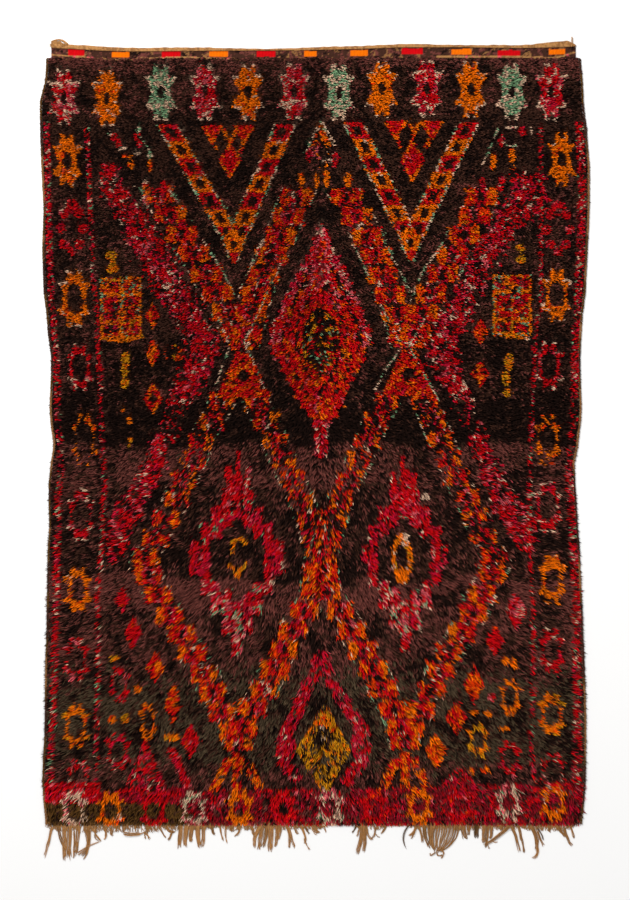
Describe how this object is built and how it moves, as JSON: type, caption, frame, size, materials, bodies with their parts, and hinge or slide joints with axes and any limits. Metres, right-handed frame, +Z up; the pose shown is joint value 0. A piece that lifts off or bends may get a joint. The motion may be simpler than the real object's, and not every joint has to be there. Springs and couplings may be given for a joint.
{
  "type": "knotted pile rug",
  "caption": "Shaggy knotted wool rug with a flat-woven end, bound side edges and a warp fringe, lying flat.",
  "frame": {"origin": "on the floor, under the middle of the rug's outline", "axes": "+X across the rug, +Y up its length to the flat-woven end, with the fringe at -Y, and +Z up out of the pile"},
  "size_m": [1.9265, 2.8738, 0.0212],
  "materials": {
    "pile_wool": "long hand-spun wool pile in dark brown, red and orange",
    "binding_wool": "overcast wool cord",
    "end_wool": "flat wool weave with a turned hem",
    "warp_wool": "loose tan warp ends"
  },
  "bodies": {
    "root": {"pile_body": "pile_wool", "selvedge_left": "binding_wool", "selvedge_right": "binding_wool", "flatwoven_end": "end_wool", "fringe": "warp_wool"}
  },
  "joints": []
}
